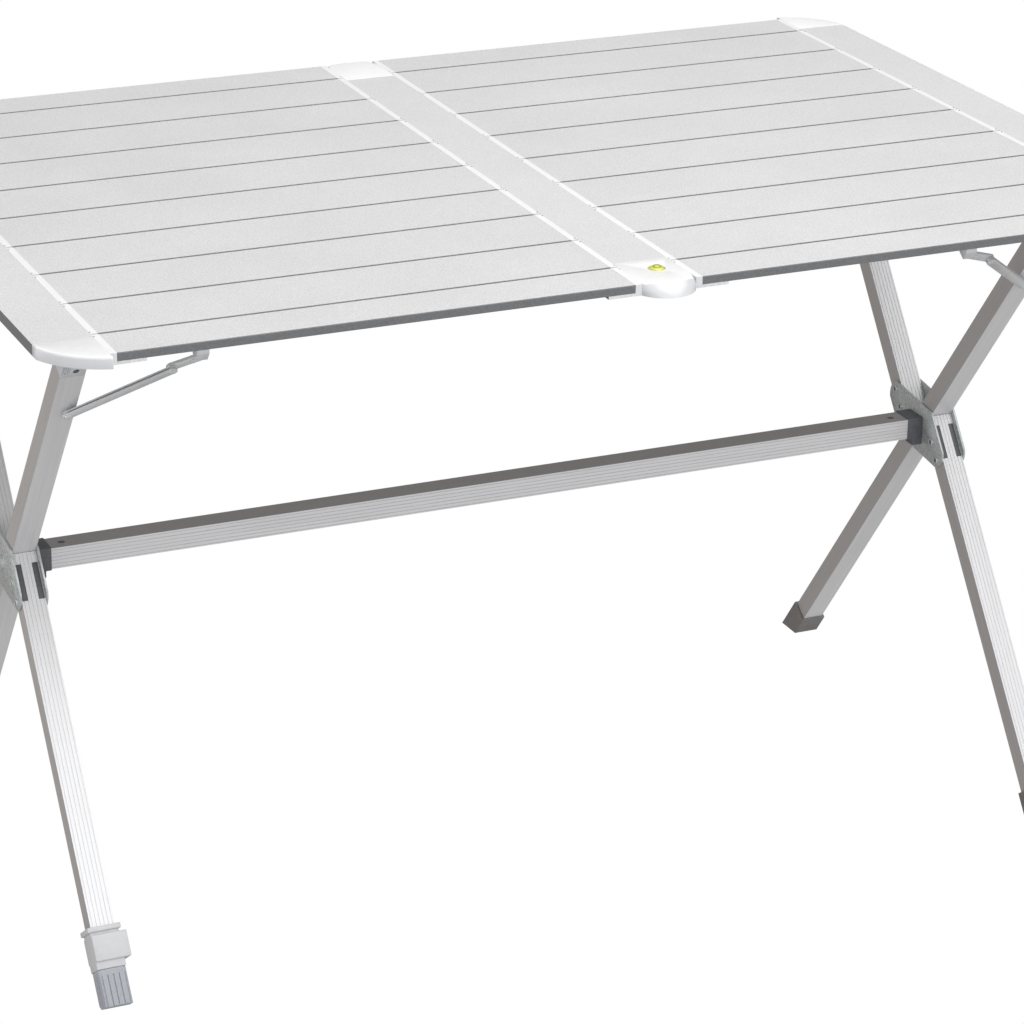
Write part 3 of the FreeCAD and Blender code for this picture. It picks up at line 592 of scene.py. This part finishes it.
@dataclass
class BubbleLevel:
    """Round bubble level set in the front centre cap."""

    ring_turns: int = 48
    lip: float = 0.0007
    dome: float = 0.0024
    tilt: float = 0.14
    window_gap: float = 0.0001
    forward: float = 0.1
    proud: float = 0.86
    mark_share: float = 0.5
    mark_wire: float = 0.0006
    bubble_share: float = 0.4
    bubble_height: float = 0.14

    def build(self) -> None:
        """Model the rim, the fluid with its printed ring, and the bubble."""
        low, high = corners("level_ring")
        centre = (low + high) / 2
        radius = (high.x - low.x) / 2
        inner_low, inner_high = corners("level_vial")
        inner = (inner_high.x - inner_low.x) / 2
        top = high.z
        rim = self._rim(centre, top, radius, inner)
        self._finish(rim, Slot.RING, "level_ring")
        vial = self._dome("level_fluid", centre, top, inner - self.window_gap, self.dome)
        self._finish(vial, Slot.VIAL, "level_vial")
        front = Vector((centre.x, centre.y - inner * self.forward, 0.0))
        crown = top + self.dome * self.proud
        mark = self._mark(front, crown, inner * self.mark_share)
        WARDROBE.dress(mark, Slot.VIAL, PRINT)
        bubble = self._dome("level_bubble", front, crown, inner * self.bubble_share,
                            self.dome * self.bubble_height, self.tilt)
        WARDROBE.dress(bubble, Slot.VIAL, BUBBLE)
        for piece in (mark, bubble):
            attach(piece, Body.TOP.value)
        log.info("bubble level built")

    def _finish(self, obj: bpy.types.Object, slot: Slot, node: str) -> None:
        """Dress a piece of the level and say what it rides on and replaces.

        Args:
            obj: The piece.
            slot: Its material slot.
            node: The frame node that it replaces.
        """
        WARDROBE.dress(obj, slot)
        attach(obj, Body.TOP.value)
        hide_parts(node)

    def _rim(self, centre: Vector, top: float, radius: float,
             inner: float) -> bpy.types.Object:
        """Rounded rim of the level.

        Args:
            centre: Middle of the level.
            top: Height of the cap's face.
            radius: Outer radius.
            inner: Radius of the window.

        Returns:
            The rim.
        """
        Bench.clear()
        middle = (radius + inner) / 2
        bpy.ops.mesh.primitive_torus_add(
            major_segments=self.ring_turns, minor_segments=12,
            location=(centre.x, centre.y, top), major_radius=middle,
            minor_radius=(radius - inner) / 2)
        rim = bpy.context.object
        rim.name = "level_rim"
        return Bench.flatten(rim, self.lip / ((radius - inner) / 2))

    def _dome(self, name: str, centre: Vector, top: float, radius: float,
              height: float, tilt: float = 0.0) -> bpy.types.Object:
        """Shallow domed window filled with fluid.

        Args:
            name: The object's name.
            centre: Middle of the level.
            top: Height of the cap's face.
            radius: Radius of the window.
            height: How far it stands up.
            tilt: Lean towards the front, in radians.

        Returns:
            The window.
        """
        Bench.clear()
        bpy.ops.mesh.primitive_uv_sphere_add(segments=self.ring_turns, ring_count=16,
                                             radius=radius, location=(centre.x, centre.y, top),
                                             rotation=(tilt, 0.0, 0.0))
        dome = bpy.context.object
        dome.name = name
        return Bench.flatten(dome, height / radius)

    def _mark(self, centre: Vector, height: float, radius: float) -> bpy.types.Object:
        """Printed circle round the bubble.

        Args:
            centre: Middle of the level.
            height: Height of the circle.
            radius: Radius of the circle.

        Returns:
            The circle, a thin ring.
        """
        Bench.clear()
        bpy.ops.mesh.primitive_torus_add(
            major_segments=self.ring_turns, minor_segments=8,
            location=(centre.x, centre.y, height), rotation=(self.tilt, 0.0, 0.0),
            major_radius=radius, minor_radius=self.mark_wire)
        mark = bpy.context.object
        mark.name = "level_mark"
        return Bench.settle(mark, ROUND)


@dataclass
class LegFrames:
    """Leg tubes, plugs, stays, hubs, beam and feet."""

    plastic_edge: float = 0.0008
    foot_edge: float = 0.0025
    metal_edge: float = 0.0004
    tubes: dict[str, Finish] = field(default_factory=lambda: {
        "straight_leg": LEG, "split_leg": SPLIT_LEG, "crossbeam": BEAM})
    moulded: dict[str, tuple[Body, Slot, float, int]] = field(default_factory=dict)
    lean: float = math.radians(LEAN)
    rivet_steps: tuple[float, ...] = (0.028, 0.049)
    rivet_off: float = 0.023
    rivet_rim: float = 0.0040
    screw_rim: float = 0.0052
    bolt_proud: float = 0.0016
    beam_hole: float = 0.015
    beam_bore: float = 0.0039
    beam_sunk: float = 0.0004
    face_band: float = 0.0001
    rim_middle: float = 0.8
    rim_wire: float = 0.22
    rim_height: float = 0.5
    # Size of the painted hole shade discs: width as a share of the rim, flattening as a share of
    # their width.
    shade_disc_share: float = 0.62
    shade_disc_height: float = 0.15

    def __post_init__(self) -> None:
        """List the pieces that are rounded, with their body, slot and rounding."""
        for side in SIDES:
            self.moulded[f"hinge_plug_{side}"] = (Body.STRAIGHT, Slot.GREY, self.metal_edge, 2)
            self.moulded[f"stay_{side}"] = (Body.STRAIGHT, Slot.STAY, self.metal_edge, 2)
            self.moulded[f"slide_head_{side}"] = (Body.SPLIT, Slot.DARK, self.plastic_edge, 2)
            self.moulded[f"hub_plates_{side}"] = (Body.SPLIT, Slot.ZINC, self.metal_edge, 2)
        self.moulded["rear_feet"] = (Body.STRAIGHT, Slot.FOOT, self.foot_edge, 3)
        self.moulded["front_foot_right"] = (Body.SPLIT, Slot.FOOT, self.foot_edge, 3)
        self.moulded["foot_collar"] = (Body.SPLIT, Slot.WHITE, self.plastic_edge, 3)
        self.moulded["adjusting_shoe"] = (Body.SHOE, Slot.SHOE, self.metal_edge, 2)
        self.moulded["beam_joints"] = (Body.SPLIT, Slot.DARK, self.plastic_edge, 2)
        self.moulded["slot_inserts"] = (Body.SPLIT, Slot.DARK, self.metal_edge, 2)

    def build(self) -> None:
        """Dress the tubes and round the fittings."""
        for name, node in sorted(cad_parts.items()):
            for start, finish in self.tubes.items():
                if name.startswith(start):
                    WARDROBE.dress(node, Slot.LEG, finish)
        for name, (body, slot, width, steps) in self.moulded.items():
            piece = Bench.refined(name, body, slot, width, steps)
            if name == "foot_collar":
                WARDROBE.dress(piece, slot, COLLAR)
        for side in SIDES:
            self._rivets(side)
            self._recess(side)
        # Painted shade in the two holes in the crossbeam's top.
        low, high = corners("crossbeam")
        for side, x in zip(SIDES, (low.x + self.beam_hole, high.x - self.beam_hole)):
            self._hole_shade(f"beam_hole_{side}", Vector((x, 0.0, high.z - self.beam_sunk)), Body.SPLIT,
                         self.beam_bore, (0.0, 0.0, 0.0))
        log.info("leg frames dressed")

    def _rivets(self, side: str) -> None:
        """Set a rolled rim and painted shade in the hole of each tubular rivet of a hub.

        Args:
            side: Which frame, left or right.
        """
        low, high = corners(f"hub_plates_{side}")
        middle = (low + high) / 2
        up = Vector((0.0, math.sin(self.lean), math.cos(self.lean)))
        out = Vector((0.0, math.cos(self.lean), -math.sin(self.lean)))
        faces = (low.x, high.x - self.bolt_proud) if side == "right" else (
            low.x + self.bolt_proud, high.x)
        for index, x in enumerate(faces):
            for sign in (-1, 1):
                for far in self.rivet_steps:
                    spot = middle + sign * (out * self.rivet_off + up * far)
                    spot.x = x
                    name = f"rivet_{side}_{index}_{sign + 1}_{int(far * 1000)}"
                    self._eyelet(name, spot, Body.SPLIT, Slot.ZINC, self.rivet_rim,
                                 (0.0, math.pi / 2, 0.0))

    def _recess(self, side: str) -> None:
        """Set a rim and painted shade in the screw hole in the boss of a hinge plug.

        Args:
            side: Which frame, left or right.
        """
        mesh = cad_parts[f"hinge_plug_{side}"].data
        front = Vector((0.0, -math.cos(self.lean), -math.sin(self.lean)))
        proud = max(front.dot(vertex.co) for vertex in mesh.vertices)
        rim = [vertex.co for vertex in mesh.vertices
               if front.dot(vertex.co) > proud - self.face_band]
        spot = sum(rim, Vector()) / len(rim)
        self._eyelet(f"plug_screw_{side}", spot, Body.STRAIGHT, Slot.GREY, self.screw_rim,
                     (math.pi / 2 + self.lean, 0.0, 0.0))

    def _eyelet(self, name: str, spot: Vector, body: Body, slot: Slot, radius: float,
                turn: Triple) -> None:
        """Model a rolled rim round a hole with painted shade in it.

        Args:
            name: The name of the rim.
            spot: Its middle.
            body: The body it rides on.
            slot: The rim's material slot.
            radius: Radius of the rim.
            turn: Rotation that brings Z to its axis.
        """
        Bench.clear()
        bpy.ops.mesh.primitive_torus_add(major_segments=24, minor_segments=8, location=spot,
                                         rotation=turn, major_radius=radius * self.rim_middle,
                                         minor_radius=radius * self.rim_wire)
        rim = bpy.context.object
        rim.name = name
        Bench.flatten(rim, self.rim_height)
        WARDROBE.dress(rim, slot)
        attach(rim, body.value)
        self._hole_shade(name + "_hole_shade", spot, body, radius * self.shade_disc_share, turn)

    def _hole_shade(self, name: str, spot: Vector, body: Body, radius: float,
                turn: Triple) -> None:
        """Model painted shade in a hole, as a flat dark disc.

        Args:
            name: The name of the piece.
            spot: Its middle.
            body: The body it rides on.
            radius: Its radius.
            turn: Rotation that brings Z to its axis.
        """
        Bench.clear()
        bpy.ops.mesh.primitive_uv_sphere_add(segments=20, ring_count=10, radius=radius,
                                             location=spot, rotation=turn)
        shade_disc = bpy.context.object
        shade_disc.name = name
        Bench.flatten(shade_disc, self.shade_disc_height)
        # Dark colour that stands for the shade in the hole.
        WARDROBE.dress(shade_disc, Slot.DARK)
        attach(shade_disc, body.value)


@dataclass
class Studio:
    """Soft lights, the surround and the camera."""

    eye: Triple = (-1.44721, -3.27604, 1.80413)
    turn: Triple = (67.86548, -0.55713, -23.05288)
    lens: float = 128.02
    shift: tuple[float, float] = (0.05374, -0.01283)
    ahead: Colour = (0.84, 0.84, 0.845)
    behind: Colour = (0.30, 0.285, 0.275)
    below: float = 0.72
    sensor: float = 36.0
    fore: tuple[float, float] = (0.6, -0.45)
    rise: tuple[float, float] = (-0.75, 0.05)
    boxes: tuple[tuple[str, Triple, Triple, float, float], ...] = (
        ("key", (0.4, -1.0, 3.6), (0.0, 0.0, 0.5), 3.0, 66.0),
        ("front", (0.8, -3.0, 3.0), (0.0, 0.0, 0.4), 2.2, 26.0),
        ("left", (-1.7, 0.3, 0.45), (-0.6, 0.0, 0.35), 0.7, 5.0))

    def build(self) -> None:
        """Build the whole studio."""
        self._lights()
        self._world()
        self._camera()
        bpy.context.scene.view_settings.view_transform = "Standard"
        log.info("studio built")

    def _lights(self) -> None:
        """Hang the soft boxes."""
        for name, where, aim, size, power in self.boxes:
            data = bpy.data.lights.new(name, "AREA")
            data.shape = "SQUARE"
            data.size = size
            data.energy = power
            light = bpy.data.objects.new(name, data)
            light.location = where
            light.rotation_euler = (Vector(aim) - Vector(where)).to_track_quat("-Z", "Y").to_euler()
            bpy.context.scene.collection.objects.link(light)

    def _world(self) -> None:
        """Surround the part: white to look at, bright in front and dim behind as light."""
        world = bpy.data.worlds.new("surround")
        world.use_nodes = True
        tree = world.node_tree
        dome = tree.nodes["Background"]
        where = tree.nodes.new("ShaderNodeTexCoord")
        split = tree.nodes.new("ShaderNodeSeparateXYZ")
        fade = tree.nodes.new("ShaderNodeMapRange")
        fade.inputs["From Min"].default_value, fade.inputs["From Max"].default_value = self.fore
        tint = Finish.mix(tree, fade.outputs["Result"], self.behind, self.ahead)
        tree.links.new(where.outputs["Generated"], split.inputs[0])
        tree.links.new(split.outputs["Y"], fade.inputs["Value"])
        low = tree.nodes.new("ShaderNodeMapRange")
        low.inputs["From Min"].default_value, low.inputs["From Max"].default_value = self.rise
        low.inputs["To Min"].default_value = self.below
        tree.links.new(split.outputs["Z"], low.inputs["Value"])
        tree.links.new(tint, dome.inputs["Color"])
        tree.links.new(low.outputs["Result"], dome.inputs["Strength"])
        page = tree.nodes.new("ShaderNodeBackground")
        page.inputs["Color"].default_value = (1, 1, 1, 1)
        path = tree.nodes.new("ShaderNodeLightPath")
        pick = tree.nodes.new("ShaderNodeMixShader")
        tree.links.new(path.outputs["Is Camera Ray"], pick.inputs[0])
        tree.links.new(dome.outputs[0], pick.inputs[1])
        tree.links.new(page.outputs[0], pick.inputs[2])
        tree.links.new(pick.outputs[0], tree.nodes["World Output"].inputs["Surface"])
        bpy.context.scene.world = world

    def _camera(self) -> None:
        """Set up the camera."""
        data = bpy.data.cameras.new("camera")
        data.lens = self.lens
        data.sensor_width = self.sensor
        data.shift_x, data.shift_y = self.shift
        camera = bpy.data.objects.new("camera", data)
        camera.location = self.eye
        camera.rotation_euler = tuple(math.radians(part) for part in self.turn)
        bpy.context.scene.collection.objects.link(camera)
        bpy.context.scene.camera = camera


def main() -> None:
    """Build every piece in order."""
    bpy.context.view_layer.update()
    TableTop().build()
    BubbleLevel().build()
    LegFrames().build()
    Studio().build()


if __name__ == "__main__":
    main()
